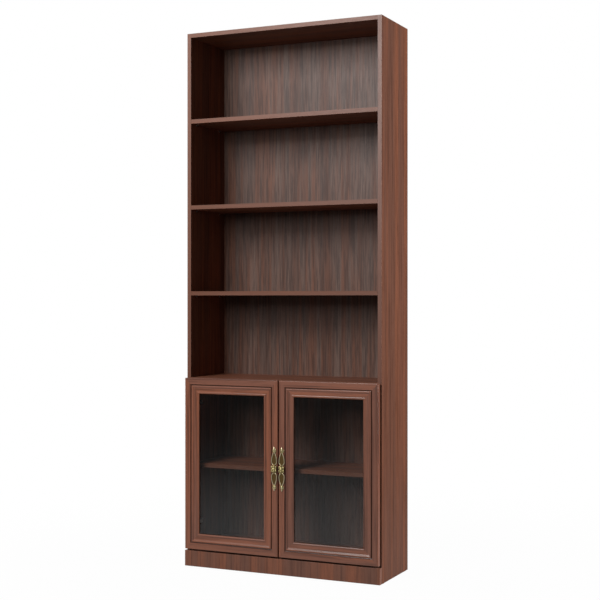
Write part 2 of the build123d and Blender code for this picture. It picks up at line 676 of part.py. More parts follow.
TAIL_GAP = 1.0                  # arm's tail to the plate's wings
ARM_WEB = 1.6
ARM_SCREW_V = -46.0
ARM_SCREW_R = 2.0
ARM_SCREW_HEAD_R = 3.8
ARM_SCREW_HEAD = 2.0
ARM_SCREW_BITE = 8.0
ARM_WEB_V = -16.0               # front end of the arm's web and of the plate's spine
PLATE_SCREW_HEAD_R = 3.8
PLATE_SCREW_HEAD = 0.8
WING_HALF = 8.0
WING_REACH = 24.0
LINK_HALF = 2.2
NOSE_R = 2.5
CHEEK_HALF = 3.0
CHEEK_NECK = (26.2, -2.0)
OUTER_LINK_BENDS = ((22.0, 6.2), (19.5, 7.4))


def hinge_plane(height):
    """Middle plane of a left hinge: local x is u, local y is v."""
    return Plane(origin=(-HALF, FRONT, height), x_dir=X_AXIS, z_dir=(0, 0, -1))


def layers(near, far):
    """Offsets and thickness of the two matching layers either side of a hinge's middle plane."""
    return (near, -far), far - near


def eye_bar(points, half):
    """Flat bar of even width with round ends along a run of points."""
    for start, end in zip(points, points[1:]):
        with BuildSketch(mode=Mode.PRIVATE) as run:
            for spot in (start, end):
                with Locations(spot):
                    Circle(half)
            make_hull()
        add(run.sketch)


def outer_links(hand, side):
    """Long cranked link of each hinge, from the arm to the mouth of the cup."""
    with BuildPart() as links:
        for height in HINGE_HEIGHTS:
            with BuildSketch(hinge_plane(height).offset(-OUTER_LINK_Z)):
                eye_bar((OUTER_ARM_PIVOT, *OUTER_LINK_BENDS, OUTER_CUP_PIVOT), LINK_HALF)
                with Locations(OUTER_ARM_PIVOT):
                    Circle(PIN_R + RUNNING, mode=Mode.SUBTRACT)
                with Locations(OUTER_CUP_PIVOT):
                    Circle(CUP_PIN_R + RUNNING, mode=Mode.SUBTRACT)
            extrude(amount=2 * OUTER_LINK_Z)
        flip(side)
    save(links, f"{hand}_hinge_outer_links")


def inner_links(hand, side):
    """Pair of short link plates of each hinge, each with a stub that floats in the cup's wall."""
    starts, thick = layers(*INNER_LINK_Z)
    with BuildPart() as links:
        for height in HINGE_HEIGHTS:
            for start in starts:
                with BuildSketch(hinge_plane(height).offset(start)):
                    eye_bar((INNER_ARM_PIVOT, INNER_CUP_PIVOT), LINK_HALF)
                    with Locations(INNER_ARM_PIVOT):
                        Circle(PIN_R + RUNNING, mode=Mode.SUBTRACT)
                extrude(amount=thick)
        u, v = INNER_CUP_PIVOT
        for way in (-1, 1):
            stubs = [(-HALF + u, FRONT - v, height + way * INNER_LINK_Z[0]) for height in HINGE_HEIGHTS]
            rod(stubs, (0, 0, way), CUP_PIN_R, INNER_PIN_END - INNER_LINK_Z[0])
        flip(side)
    save(links, f"{hand}_hinge_inner_links")


def hinge_cups(hand, side):
    """Pressed cups in the hinge stile, their pivot pins and their screws."""
    u, v = OUTER_CUP_PIVOT
    float_u, float_v = INNER_CUP_PIVOT
    starts, thick = layers(*CUP_LUG_Z)
    lug_root = DOOR_REVEAL + CUP_FROM_EDGE - CUP_R + CUP_WALL - LUG_SEAT
    seats = [(CUP_X, DOOR_BACK, height) for height in HINGE_HEIGHTS]
    mouths = [(CUP_X, DOOR_BACK + CUP_FLANGE, height) for height in HINGE_HEIGHTS]
    screw_spots = [(CUP_SCREW_X, DOOR_BACK + CUP_FLANGE, height + rise)
                   for height in HINGE_HEIGHTS for rise in CUP_SCREW_Z]
    with BuildPart() as cups:
        rod(seats, FORWARD, CUP_R, CUP_DEEP)
        for seat in seats:
            with BuildSketch(Plane(origin=seat, x_dir=X_AXIS, z_dir=Y_AXIS)):
                with Locations((CUP_FLANGE_SHIFT, 0)):
                    RectangleRounded(CUP_FLANGE_WIDE, CUP_FLANGE_HIGH, CUP_FLANGE_ROUND)
            extrude(amount=CUP_FLANGE)
        bore(mouths, FORWARD, CUP_R - CUP_WALL, CUP_FLANGE + CUP_DEEP - CUP_FLOOR)
        bore(screw_spots, FORWARD, CUP_SCREW_R + RUNNING, CUP_FLANGE)
        for height in HINGE_HEIGHTS:
            for start in starts:
                with BuildSketch(hinge_plane(height).offset(start)):
                    with Locations((u, v)):
                        Circle(LINK_HALF)
                    with Locations(((u + lug_root) / 2, v)):
                        Rectangle(u - lug_root, LINK_HALF)
                    with Locations((u, v)):
                        Circle(CUP_PIN_R + RUNNING / 2, mode=Mode.SUBTRACT)
                extrude(amount=thick)
        float_holes = [(-HALF + float_u, FRONT - float_v, height - CUP_R) for height in HINGE_HEIGHTS]
        bore(float_holes, Z_AXIS, CUP_PIN_R + CUP_PIN_FLOAT, 2 * CUP_R)
        flip(side)
    save(cups, f"{hand}_hinge_cups")
    with BuildPart() as pins:
        ends = [(-HALF + u, FRONT - v, height - CUP_LUG_Z[1]) for height in HINGE_HEIGHTS]
        rod(ends, Z_AXIS, CUP_PIN_R, 2 * CUP_LUG_Z[1])
        flip(side)
    save(pins, f"{hand}_hinge_cup_pins")
    with BuildPart() as screws:
        rod(screw_spots, FORWARD, CUP_SCREW_R, CUP_FLANGE + CUP_SCREW_LONG - SPARE)
        rod(screw_spots, Y_AXIS, CUP_SCREW_HEAD_R, CUP_SCREW_HEAD)
        flip(side)
    save(screws, f"{hand}_hinge_cup_screws")


def cheek_outline():
    """Side wall of a hinge arm: a nose into the cup, a lobe at the rear pivot and a straight tail."""
    rear_lobe = (BOARD + ARM_TOP - CHEEK_HALF, ARM_WEB_V)
    with BuildSketch(mode=Mode.PRIVATE) as nose:
        with Locations(INNER_ARM_PIVOT):
            Circle(NOSE_R)
        with Locations(CHEEK_NECK):
            Circle(CHEEK_HALF)
        make_hull()
    with BuildSketch(mode=Mode.PRIVATE) as lobe:
        with Locations(CHEEK_NECK, (CHEEK_NECK[0], ARM_WEB_V), OUTER_ARM_PIVOT, rear_lobe):
            Circle(CHEEK_HALF)
        make_hull()
    add(nose.sketch)
    add(lobe.sketch)
    tail_low = BOARD + PLATE_WING + TAIL_GAP
    with Locations(((tail_low + BOARD + ARM_TOP) / 2, (ARM_REAR_V + ARM_WEB_V) / 2)):
        RectangleRounded(BOARD + ARM_TOP - tail_low, ARM_WEB_V - ARM_REAR_V, CHEEK_HALF / 2)


def root_hinge_parts():
    """Arms, mounting plates, pins and screws that stay on the carcass, both sides."""
    starts, thick = layers(*CHEEK_Z)
    arm_face = -INNER + ARM_TOP
    plate_face = -INNER + PLATE_RISE
    spine_half = CHEEK_Z[0] - 2 * RUNNING
    plate_y = FRONT - PLATE_V
    arm_screws = [(arm_face, FRONT - ARM_SCREW_V, height) for height in HINGE_HEIGHTS]
    wing_screws = [(-INNER + PLATE_WING, plate_y, height + rise)
                   for height in HINGE_HEIGHTS for rise in PLATE_SCREW_Z]
    outer_u, outer_v = OUTER_ARM_PIVOT
    inner_u, inner_v = INNER_ARM_PIVOT
    with BuildPart() as arms:
        for height in HINGE_HEIGHTS:
            for start in starts:
                with BuildSketch(hinge_plane(height).offset(start)):
                    cheek_outline()
                    with Locations(OUTER_ARM_PIVOT, INNER_ARM_PIVOT):
                        Circle(PIN_R + RUNNING / 2, mode=Mode.SUBTRACT)
                extrude(amount=thick)
            web_z = (height - CHEEK_Z[1], height + CHEEK_Z[1])
            slab((arm_face - ARM_WEB, arm_face), (FRONT - ARM_WEB_V, FRONT - WEB_REAR_V), web_z)
        bore(arm_screws, (-1, 0, 0), ARM_SCREW_R + RUNNING, ARM_WEB)
        mirror(about=Plane.YZ)
    save(arms, "hinge_arms")
    with BuildPart() as plates:
        for height in HINGE_HEIGHTS:
            wing_y = (plate_y - WING_HALF, plate_y + WING_HALF)
            slab((-INNER, -INNER + PLATE_WING), wing_y, (height - WING_REACH, height + WING_REACH))
            spine_y = (FRONT - ARM_WEB_V, FRONT - WEB_REAR_V)
            slab((-INNER, plate_face), spine_y, (height - spine_half, height + spine_half))
        bore(wing_screws, (-1, 0, 0), PLATE_SCREW_R + RUNNING, PLATE_WING)
        sockets = [(plate_face, y, z) for _, y, z in arm_screws]
        bore(sockets, (-1, 0, 0), ARM_SCREW_R + RUNNING, ARM_SCREW_BITE + SPARE)
        mirror(about=Plane.YZ)
    save(plates, "hinge_mounting_plates")
    with BuildPart() as plate_screws:
        rod(wing_screws, (-1, 0, 0), PLATE_SCREW_R, PLATE_WING + PLATE_SCREW_LONG)
        rod(wing_screws, X_AXIS, PLATE_SCREW_HEAD_R, PLATE_SCREW_HEAD)
        mirror(about=Plane.YZ)
    save(plate_screws, "hinge_plate_screws")
    with BuildPart() as adjusters:
        rod(arm_screws, (-1, 0, 0), ARM_SCREW_R, ARM_TOP - PLATE_RISE + ARM_SCREW_BITE)
        rod(arm_screws, X_AXIS, ARM_SCREW_HEAD_R, ARM_SCREW_HEAD)
        mirror(about=Plane.YZ)
    save(adjusters, "hinge_arm_screws")
    with BuildPart() as pins:
        ends = [(-HALF + outer_u, FRONT - outer_v, height - CHEEK_Z[1]) for height in HINGE_HEIGHTS]
        rod(ends, Z_AXIS, PIN_R, 2 * CHEEK_Z[1])
        for way in (-1, 1):
            stubs = [(-HALF + inner_u, FRONT - inner_v, height + way * CHEEK_Z[0])
                     for height in HINGE_HEIGHTS]
            rod(stubs, (0, 0, way), PIN_R, INNER_LINK_Z[1] - CHEEK_Z[0])
        mirror(about=Plane.YZ)
    save(pins, "hinge_arm_pins")


# Everything, from the carcass outwards
for hand, side in SIDES.items():
    side_panel(f"{hand}_side_panel", side)
for board_name, (under, cam_face) in FIXED_BOARDS.items():
    fixed_board(board_name, under, cam_face)
for shelf_name, (top, set_back) in LOOSE_SHELVES.items():
    loose_shelf(shelf_name, top, set_back)
edge_bands()
back_board()
plinth()
floor_glides()
carcass_fittings()
shelf_pins()
root_hinge_parts()
for hand, side in SIDES.items():
    for member in door_corners():
        door_member(hand, side, member)
    door_glazing(hand, side)
    door_small_parts(hand, side)
    handle(hand, side)
    hinge_cups(hand, side)
    outer_links(hand, side)
    inner_links(hand, side)
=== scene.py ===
"""Finishes, small fittings, light and camera for the tall bookcase with a glazed cupboard.

Metres, +Z up, the front looks along -Y, as in the CAD frame.
"""

import math

import bmesh
import bpy
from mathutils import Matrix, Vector


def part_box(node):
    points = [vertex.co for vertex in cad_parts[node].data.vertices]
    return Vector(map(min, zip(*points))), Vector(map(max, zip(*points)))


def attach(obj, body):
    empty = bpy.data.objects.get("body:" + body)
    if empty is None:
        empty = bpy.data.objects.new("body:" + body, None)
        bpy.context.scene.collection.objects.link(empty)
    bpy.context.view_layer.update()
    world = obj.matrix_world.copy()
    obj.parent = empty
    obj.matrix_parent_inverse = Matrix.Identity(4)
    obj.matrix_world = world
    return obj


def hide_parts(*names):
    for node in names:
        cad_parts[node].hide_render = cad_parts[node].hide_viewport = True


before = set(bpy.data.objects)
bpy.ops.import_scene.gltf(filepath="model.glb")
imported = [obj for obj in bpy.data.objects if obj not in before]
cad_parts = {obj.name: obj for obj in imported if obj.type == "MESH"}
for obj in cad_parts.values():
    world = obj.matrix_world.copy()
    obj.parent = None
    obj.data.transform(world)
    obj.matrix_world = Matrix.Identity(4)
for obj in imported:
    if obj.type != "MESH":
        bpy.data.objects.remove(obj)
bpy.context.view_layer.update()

SIDES = {"left": -1, "right": 1}
BOARDS_ACROSS = ("top_panel", "bottom_panel", "fixed_shelf", "cupboard_shelf",
                 "lower_shelf", "middle_shelf", "upper_shelf")
X, Y, Z = range(3)


def ends(node, axis):
    """Where a CAD node starts and ends along one axis."""
    low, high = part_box(node)
    return low[axis], high[axis]


def middle(node, axis):
    """Half-way between a CAD node's ends."""
    return sum(ends(node, axis)) / 2


# Faces that finishes and fittings keep to; the right half stands for both
DOOR_FACE, DOOR_BACK = ends("right_door_top_rail", Y)
DOOR_ENDS = {"X": ends("right_door_top_rail", X), "Z": ends("right_door_hinge_stile", Z)}
INNER_FACE = ends("right_side_panel", X)[0]
CARCASS_FRONT = ends("side_edge_bands", Y)[0]
BACK_FACE = ends("back_panel", Y)[1]

# Colours, linear: red, grey and dark parts of each wood
CARCASS_TONES = ((0.258, 0.091, 0.048, 1), (0.172, 0.073, 0.047, 1), (0.060, 0.021, 0.012, 1))
EDGE_TONES = ((0.170, 0.060, 0.031, 1), (0.152, 0.059, 0.035, 1), (0.075, 0.026, 0.014, 1))
DOOR_TONES = ((0.286, 0.096, 0.049, 1), (0.224, 0.088, 0.055, 1), (0.064, 0.022, 0.013, 1))
# Painted shade laid into the groove on the doors' faces
GROOVE_SHADE = (0.020, 0.007, 0.004, 1)
BACK_TONES = ((0.150, 0.062, 0.037, 1), (0.134, 0.082, 0.064, 1), (0.026, 0.012, 0.009, 1))
FIBREBOARD = (0.250, 0.150, 0.080, 1)
FIBREBOARD_CLUMP = (0.180, 0.100, 0.050, 1)
BEECH_PALE = (0.560, 0.390, 0.230, 1)
BEECH_DEEP = (0.400, 0.250, 0.130, 1)
BRASS_RUBBED = (0.660, 0.560, 0.370, 1)
BRASS_BODY = (0.370, 0.310, 0.125, 1)
BRASS_PATINA = (0.120, 0.075, 0.028, 1)
STEEL = (0.500, 0.490, 0.470, 1)
STEEL_DULL = (0.320, 0.315, 0.305, 1)
GLASS_TINT = (0.010, 0.012, 0.012, 1)
RUBBER_BLACK = (0.015, 0.015, 0.015, 1)
BUMPER_MILK = (0.700, 0.700, 0.680, 1)
GLIDE_BROWN = (0.035, 0.026, 0.021, 1)
WHITE = (1, 1, 1, 1)


class Shade:
    """A node socket that takes part in sums, and adds further nodes to its tree."""

    def __init__(self, tree, socket=None):
        self.tree = tree
        self.socket = socket

    def node(self, kind, settings=None, sockets=None, out=0):
        """Add a node: settings first, then a value, a link or several links for each socket."""
        made = self.tree.nodes.new(kind if "Node" in kind else "ShaderNode" + kind)
        for name, value in (settings or {}).items():
            setattr(made, name, value)
        for name, value in (sockets or {}).items():
            links = value if isinstance(value, list) else [value]
            for link in links:
                if isinstance(link, Shade):
                    self.tree.links.new(link.socket, made.inputs[name])
                else:
                    made.inputs[name].default_value = link
        return Shade(self.tree, made.outputs[out]) if made.outputs else None

    def maths(self, operation, first, second):
        return self.node("Math", {"operation": operation}, {0: first, 1: second})

    def vectors(self, operation, first, second, out=0):
        return self.node("VectorMath", {"operation": operation}, {0: first, 1: second}, out)

    def __add__(self, other):
        return self.maths("ADD", self, other)

    def __sub__(self, other):
        return self.maths("SUBTRACT", self, other)

    def __rsub__(self, other):
        return self.maths("SUBTRACT", other, self)

    def __mul__(self, other):
        return self.maths("MULTIPLY", self, other)

    def __truediv__(self, other):
        return self.maths("DIVIDE", self, other)

    def __gt__(self, other):
        return self.maths("GREATER_THAN", self, other)

    __radd__ = __add__
    __rmul__ = __mul__

    def between(self, low, high):
        """0 at low, 1 at high, smooth between them."""
        limits = {"From Min": low, "From Max": high, "Value": self}
        return self.node("MapRange", {"interpolation_type": "SMOOTHSTEP"}, limits)

    def mix(self, first, second):
        """First colour where this is 0, second where it is 1."""
        return self.node("Mix", {"data_type": "RGBA"}, {0: self, 6: first, 7: second}, out=2)

    def noise(self, scale, detail, roughness=0.55):
        """Cloudy pattern between 0 and 1, with about this many clouds to a metre."""
        return self.node("TexNoise", None, {"Vector": self, "Scale": scale, "Detail": detail,
                                            "Roughness": roughness})

    def stretched(self, scale):
        return self.node("Mapping", None, {"Vector": self, "Scale": scale})

    def wandering(self, scale, reach):
        """The same coordinates, pushed about by slow noise."""
        push = self.node("TexNoise", None, {"Vector": self, "Scale": scale, "Detail": 1.0}, out="Color")
        return self.node("VectorMath", {"operation": "MULTIPLY_ADD"},
                         {0: push, 1: (reach, reach, reach), 2: self})

    def part(self, axis):
        """One coordinate of a place."""
        return self.node("SeparateXYZ", None, {0: self}, out=axis)

    def bump(self, strength, depth):
        """Normal of a surface that rises and falls with this."""
        return self.node("Bump", None, {"Height": self, "Strength": strength, "Distance": depth})


def new_finish(name):
    """Empty material, and the object coordinates that its pattern starts from."""
    material = bpy.data.materials.new(name)
    material.use_nodes = True
    material.node_tree.nodes.clear()
    return material, Shade(material.node_tree).node("TexCoord", out="Object")


def lay_surface(point, sockets):
    """Principled surface on the material's output."""
    surface = point.node("BsdfPrincipled", None, sockets)
    point.node("OutputMaterial", None, {"Surface": surface})


# Wood
GROOVE = (0.0242, 0.0286)           # from the outer edge of a door
GROOVE_SOFT = 0.0008                # half the width in which the painted groove shade starts and stops
FACE_DEEP = (0.005, 0.007)          # behind the door's face; the painted shade ends here
BARE_SKIN = 0.0001                  # depth of the unprinted rear face of the back panel


def along_grain(axis, share):
    """Scale that draws a pattern out along one axis."""
    return tuple(share if name == axis else 1.0 for name in "XYZ")


def groove_shade_mask(point, across):
    """1 in the groove on a door's face, where shade is painted: its members lie across X or Z, and both
    doors are alike.
    """
    low, high = DOOR_ENDS[across]
    start, end = GROOVE
    place = point.node("Math", {"operation": "ABSOLUTE"}, {0: point.part(across)})
    inset = place.maths("MINIMUM", place - low, high - place)
    depth = point.part("Y") - DOOR_FACE
    entered = inset.between(start - GROOVE_SOFT, start + GROOVE_SOFT)
    passed = inset.between(end - GROOVE_SOFT, end + GROOVE_SOFT)
    return entered * (1 - passed) * (1 - depth.between(*FACE_DEEP))


def walnut(name, axis, tones, streaks, sheen=0.40, rough=0.44, grooved=None):
    """Straight-grained walnut laminate with its grain along one axis, with shade painted into its groove
    where it is grooved.
    """
    red, grey, dark = tones
    material, point = new_finish(name)
    bent = point.wandering(1.7, 0.015)
    long_grain = bent.stretched(along_grain(axis, 0.022))
    short_grain = bent.stretched(along_grain(axis, 0.040))
    band = long_grain.noise(20.0, 2.0).between(0.36, 0.64)
    streak = long_grain.noise(95.0, 4.0, 0.62).between(0.44, 0.70)
    vein = short_grain.noise(210.0, 3.0).between(0.56, 0.72)
    fibre = short_grain.noise(520.0, 2.0)
    pore = short_grain.noise(1100.0, 1.0).between(0.60, 0.72)
    colour = band.mix(red, grey)
    colour = (streak * streaks).mix(colour, dark)
    colour = (vein * (0.7 * streaks)).mix(colour, dark)
    colour = ((fibre - 0.5) * 0.5 + 0.10).mix(colour, dark)
    colour = (pore * 0.40).mix(colour, dark)
    # Painted shade: the groove on a door's face is darkened
    if grooved:
        colour = (groove_shade_mask(point, grooved) * 0.75).mix(colour, GROOVE_SHADE)
    lay_surface(point, {
        "Base Color": colour,
        "Roughness": rough + 0.14 * (fibre - 0.5) + 0.08 * pore,
        "Specular IOR Level": sheen,
        "Normal": (fibre * 0.5 - pore).bump(0.12, 0.0003),
    })
    return material


def back_sheet(name):
    """Printed walnut on the front of the back panel, bare fibreboard behind."""
    warm, grey, dark = BACK_TONES
    material, point = new_finish(name)
    bent = point.wandering(2.5, 0.006)
    long_grain = bent.stretched(along_grain("Z", 0.03))
    zone = long_grain.noise(13.0, 2.0).between(0.40, 0.62)
    band = long_grain.noise(48.0, 3.0).between(0.36, 0.64)
    grain = bent.stretched(along_grain("Z", 0.045))
    streak = grain.noise(125.0, 4.0, 0.60).between(0.42, 0.63)
    fibre = grain.noise(420.0, 2.0)
    wood = band.mix(warm, grey)
    wood = (zone * 0.32).mix(wood, dark)
    wood = (streak * 0.57).mix(wood, dark)
    wood = ((fibre - 0.5) * 1.1 + 0.10).mix(wood, dark)
    clump = point.noise(900.0, 3.0)
    board = clump.between(0.40, 0.62).mix(FIBREBOARD, FIBREBOARD_CLUMP)
    bare = point.part("Y") > BACK_FACE - BARE_SKIN
    lay_surface(point, {
        "Base Color": bare.mix(wood, board),
        "Roughness": 0.46 + 0.14 * (fibre - 0.5),
        "Specular IOR Level": 0.25,
        "Normal": (fibre + 0.4 * clump).bump(0.10, 0.0003),
    })
    return material


def beech(name):
    """Bare, sanded hardwood with short flecks."""
    material, point = new_finish(name)
    grain = point.stretched(along_grain("X", 0.08))
    fleck = grain.noise(700.0, 2.0)
    tone = grain.noise(90.0, 3.0)
    colour = (tone * 0.8).mix(BEECH_PALE, BEECH_DEEP)
    lay_surface(point, {
        "Base Color": (fleck.between(0.58, 0.70) * 0.5).mix(colour, BEECH_DEEP),
        "Roughness": 0.55 + 0.2 * (fleck - 0.5),
        "Normal": fleck.bump(0.15, 0.0003),
    })
    return material


# Metal, glass and plastics
WEB_TO_RIM = (0.0016, 0.0034)       # heights on a pull, from the door's face
RIM_TO_KNOT = (0.0050, 0.0080)
RUBBED_RELIEF = (0.00008, 0.00045)  # how far a point stands proud of the casting around it
HOLLOW_RELIEF = (0.00003, 0.00020)  # how far it lies below
PANE_INDEX = 2.5
PANE_COVER = 0.15


def brass(name):
    """Cast antique brass, dark in the hollows and rubbed bright on the high parts."""
    material, point = new_finish(name)
    relief = point.node("Attribute", {"attribute_name": "relief"}, out="Fac")
    height = DOOR_FACE - point.part("Y")
    cloud = point.noise(220.0, 3.0)
    grit = point.noise(1600.0, 2.0)
    rubbed = (relief + 0.0002 * (cloud - 0.5)).between(*RUBBED_RELIEF)
    clean = height.between(*WEB_TO_RIM)
    knot = height.between(*RIM_TO_KNOT)
    hollow = (0 - relief).between(*HOLLOW_RELIEF)
    colour = clean.mix(BRASS_PATINA, BRASS_BODY)
    colour = (rubbed * clean * (1 - 0.75 * knot)).mix(colour, BRASS_RUBBED)
    colour = (hollow * 0.85).mix(colour, BRASS_PATINA)
    lay_surface(point, {
        "Base Color": colour,
        "Metallic": 1.0,
        "Roughness": 0.46 - 0.14 * rubbed + 0.12 * (grit - 0.5),
        "Normal": (cloud + 0.3 * grit).bump(0.15, 0.0004),
    })
    return material


def plated(name, bright, dull, axis, rough):
    """Plated steel with fine drawing lines along one axis."""
    material, point = new_finish(name)
    line = point.stretched(along_grain(axis, 0.05)).noise(1800.0, 2.0)
    cloud = point.noise(120.0, 2.0)
    lay_surface(point, {
        "Base Color": (cloud * 0.6).mix(bright, dull),
        "Metallic": 1.0,
        "Roughness": rough + 0.18 * (line - 0.5),
        "Normal": line.bump(0.08, 0.0002),
    })
    return material


def pane(name):
    """Clear float glass. Alpha thins its gloss too, so the index stands for both faces of the sheet."""
    material, point = new_finish(name)
    smear = point.noise(9.0, 2.0)
    lay_surface(point, {
        "Base Color": GLASS_TINT,
        "Roughness": 0.02 + 0.02 * smear,
        "IOR": PANE_INDEX,
        "Alpha": PANE_COVER,
    })
    material.surface_render_method = "BLENDED"
    return material


def moulded(name, colour, shade, rough):
    """Moulded rubber or plastic with a fine satin skin."""
    material, point = new_finish(name)
    skin = point.noise(2200.0, 2.0)
    cloud = point.noise(200.0, 2.0)
    lay_surface(point, {
        "Base Color": (cloud * 0.5).mix(colour, shade),
        "Roughness": rough + 0.15 * (skin - 0.5),
        "Normal": skin.bump(0.10, 0.0002),
    })
    return material


def dress(material, *nodes):
    """Give CAD nodes their finish."""
    for name in nodes:
        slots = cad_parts[name].data.materials
        slots.clear()
        slots.append(material)


def per_door(*names):
    """Names of the left and right nodes of these kinds."""
    return [f"{hand}_{name}" for hand in SIDES for name in names]


nickel = plated("nickel_plate", STEEL, STEEL_DULL, "Z", 0.30)
zinc = plated("zinc_plate", STEEL, STEEL_DULL, "X", 0.38)
antique_brass = brass("antique_brass")
dress(walnut("walnut_upright", "Z", CARCASS_TONES, streaks=0.65, sheen=0.04),
      "left_side_panel", "right_side_panel")
dress(walnut("walnut_plinth", "Z", CARCASS_TONES, streaks=0.6), "plinth_board")
dress(walnut("walnut_shelf", "X", CARCASS_TONES, streaks=0.65, sheen=0.08), *BOARDS_ACROSS)
dress(walnut("walnut_band_upright", "Z", EDGE_TONES, streaks=0.30, sheen=0.36), "side_edge_bands")
dress(walnut("walnut_band_shelf", "X", EDGE_TONES, streaks=0.30, sheen=0.30), "shelf_edge_bands")
dress(walnut("walnut_stile", "Z", DOOR_TONES, streaks=0.75, sheen=0.55, rough=0.31, grooved="X"),
      *per_door("door_hinge_stile", "door_handle_stile"))
dress(walnut("walnut_rail", "X", DOOR_TONES, streaks=0.75, sheen=0.55, rough=0.31, grooved="Z"),
      *per_door("door_top_rail", "door_bottom_rail"))
dress(back_sheet("walnut_back"), "back_panel")
dress(beech("beech"), "plinth_corner_blocks", "carcass_dowels", *per_door("door_corner_dowels"))
dress(pane("clear_glass"), *per_door("door_glass"))
dress(moulded("gasket_rubber", RUBBER_BLACK, GLIDE_BROWN, 0.6), *per_door("door_glazing_gasket"))
dress(moulded("bumper", BUMPER_MILK, WHITE, 0.35), *per_door("door_bumpers"))
dress(moulded("glide_plastic", GLIDE_BROWN, RUBBER_BLACK, 0.45), "floor_glides")
dress(nickel, "shelf_pins", "hinge_arms", "hinge_mounting_plates", "hinge_arm_pins",
      *per_door("hinge_cups", "hinge_cup_pins", "hinge_outer_links", "hinge_inner_links"))
dress(zinc, "cam_bolts", "cam_locks")


# Pieces made by geometry nodes

def new_tree(name, inputs):
    """Empty geometry tree with named inputs, and a socket for each of them."""
    tree = bpy.data.node_groups.new(name, "GeometryNodeTree")
    for label, kind in inputs.items():
        tree.interface.new_socket(label, in_out="INPUT", socket_type="NodeSocket" + kind)
    tree.interface.new_socket("Geometry", in_out="OUTPUT", socket_type="NodeSocketGeometry")
    feed = tree.nodes.new("NodeGroupInput")
    return tree, {label: Shade(tree, feed.outputs[label]) for label in inputs}


def end_tree(shape, finish):
    """Make instances real, give the shape its finish and pass it out of its tree."""
    real = shape.node("GeometryNodeRealizeInstances", None, {"Geometry": shape})
    finished = shape.node("GeometryNodeSetMaterial", None, {"Geometry": real, "Material": finish})
    shape.node("NodeGroupOutput", None, {"Geometry": finished})


def grow(name, mesh, tree, values, remesh=None):
    """Run a tree on a mesh and keep the result as a plain mesh."""
    piece = bpy.data.objects.new(name, mesh)
    bpy.context.scene.collection.objects.link(piece)
    if remesh:
        skin = piece.modifiers.new("skin", "REMESH")
        skin.mode = "VOXEL"
        skin.voxel_size = remesh
    modifier = piece.modifiers.new(tree.name, "NODES")
    modifier.node_group = tree
    for socket in tree.interface.items_tree:
        if socket.in_out == "INPUT" and socket.name in values:
            modifier[socket.identifier] = values[socket.name]
    ready = piece.evaluated_get(bpy.context.evaluated_depsgraph_get())
    made = bpy.data.meshes.new_from_object(ready)
    piece.modifiers.clear()
    piece.data = made
    return piece


def hand_over(piece, node, body):
    """Let a piece stand for a CAD node on its body."""
    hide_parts(node)
    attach(piece, body)


# Cast pulls: a soft skin over the CAD casting, with its relief kept for the patina
CAST_GRAIN = 0.00045                # size of the skin's cells
CAST_SOFTNESS = 3                   # rounds that soften the skin
CAST_REACH = 40                     # rounds that find the level around a point
CRUMB = 100                         # points; a loose bit of skin with fewer is dropped
SAME_SPOT = 1e-6                    # points nearer than this are joined


def cast_skin():
    """Tree that rounds a casting's corners off and stores how far each point stands proud."""
    tree, feed = new_tree("cast_skin", {"Geometry": "Geometry", "Softness": "Int", "Reach": "Int",
                                        "Finish": "Material"})
    start = feed["Geometry"]
    bit = start.node("GeometryNodeAccumulateField", {"data_type": "INT", "domain": "POINT"},
                     {"Value": 1, "Group ID": start.node("GeometryNodeInputMeshIsland")}, out="Total")
    shell = start.node("GeometryNodeDeleteGeometry", {"domain": "POINT"},
                       {"Geometry": start, "Selection": bit.maths("LESS_THAN", bit, CRUMB)})
    place = start.node("GeometryNodeInputPosition")
    blur = {"data_type": "FLOAT_VECTOR"}
    soft_place = start.node("GeometryNodeBlurAttribute", blur,
                            {"Value": place, "Iterations": feed["Softness"]})
    soft = start.node("GeometryNodeSetPosition", None, {"Geometry": shell, "Position": soft_place})
    wide = start.node("GeometryNodeBlurAttribute", blur, {"Value": place, "Iterations": feed["Reach"]})
    proud = place.vectors("SUBTRACT", place, wide)
    relief = place.vectors("DOT_PRODUCT", proud, start.node("GeometryNodeInputNormal"), out="Value")
    marked = start.node("GeometryNodeStoreNamedAttribute", {"data_type": "FLOAT", "domain": "POINT"},
                        {"Geometry": soft, "Name": "relief", "Value": relief})
    smooth = start.node("GeometryNodeSetShadeSmooth", None, {"Geometry": marked})
    end_tree(smooth, feed["Finish"])
    return tree


def merged_copy(node):
    """A CAD node's mesh with its loose triangles joined."""
    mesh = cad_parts[node].data.copy()
    shell = bmesh.new()
    shell.from_mesh(mesh)
    bmesh.ops.remove_doubles(shell, verts=shell.verts, dist=SAME_SPOT)
    shell.to_mesh(mesh)
    shell.free()
    return mesh


skin_tree = cast_skin()
for hand in SIDES:
    pull = grow(f"{hand}_cast_pull", merged_copy(f"{hand}_door_handle"), skin_tree,
                {"Softness": CAST_SOFTNESS, "Reach": CAST_REACH, "Finish": antique_brass},
                remesh=CAST_GRAIN)
    hand_over(pull, f"{hand}_door_handle", f"{hand}_door")


# Screws and nails: the head's radius and height, its crown, the cross in it, the shank's radius and length
NAIL = {"head": (0.0017, 0.0006), "crown": 0.0003, "cross": 0.0, "shank": (0.0007, 0.0180)}
PLATE_SCREW = {"head": (0.0038, 0.0008), "crown": 0.0004, "cross": 0.0043, "shank": (0.0019, 0.0142)}
ARM_SCREW = {"head": (0.0038, 0.0020), "crown": 0.0008, "cross": 0.0044, "shank": (0.0020, 0.0150)}
BLOCK_SCREW = {"head": (0.0036, 0.0022), "crown": 0.0009, "cross": 0.0042, "shank": (0.0019, 0.0320)}
CUP_SCREW = {"head": (0.0032, 0.0014), "crown": 0.0006, "cross": 0.0036, "shank": (0.0017, 0.0097)}
HANDLE_SCREW = {"head": (0.0040, 0.0024), "crown": 0.0012, "cross": 0.0044, "shank": (0.0019, 0.0242)}
HEAD_SIDES = 20
HEAD_RINGS = 3
SHANK_SIDES = 12
SHANK_IN_HEAD = 0.5                 # share of the head's height
CROSS_ARM = 0.28                    # width of the cross's arms, as a share of their length
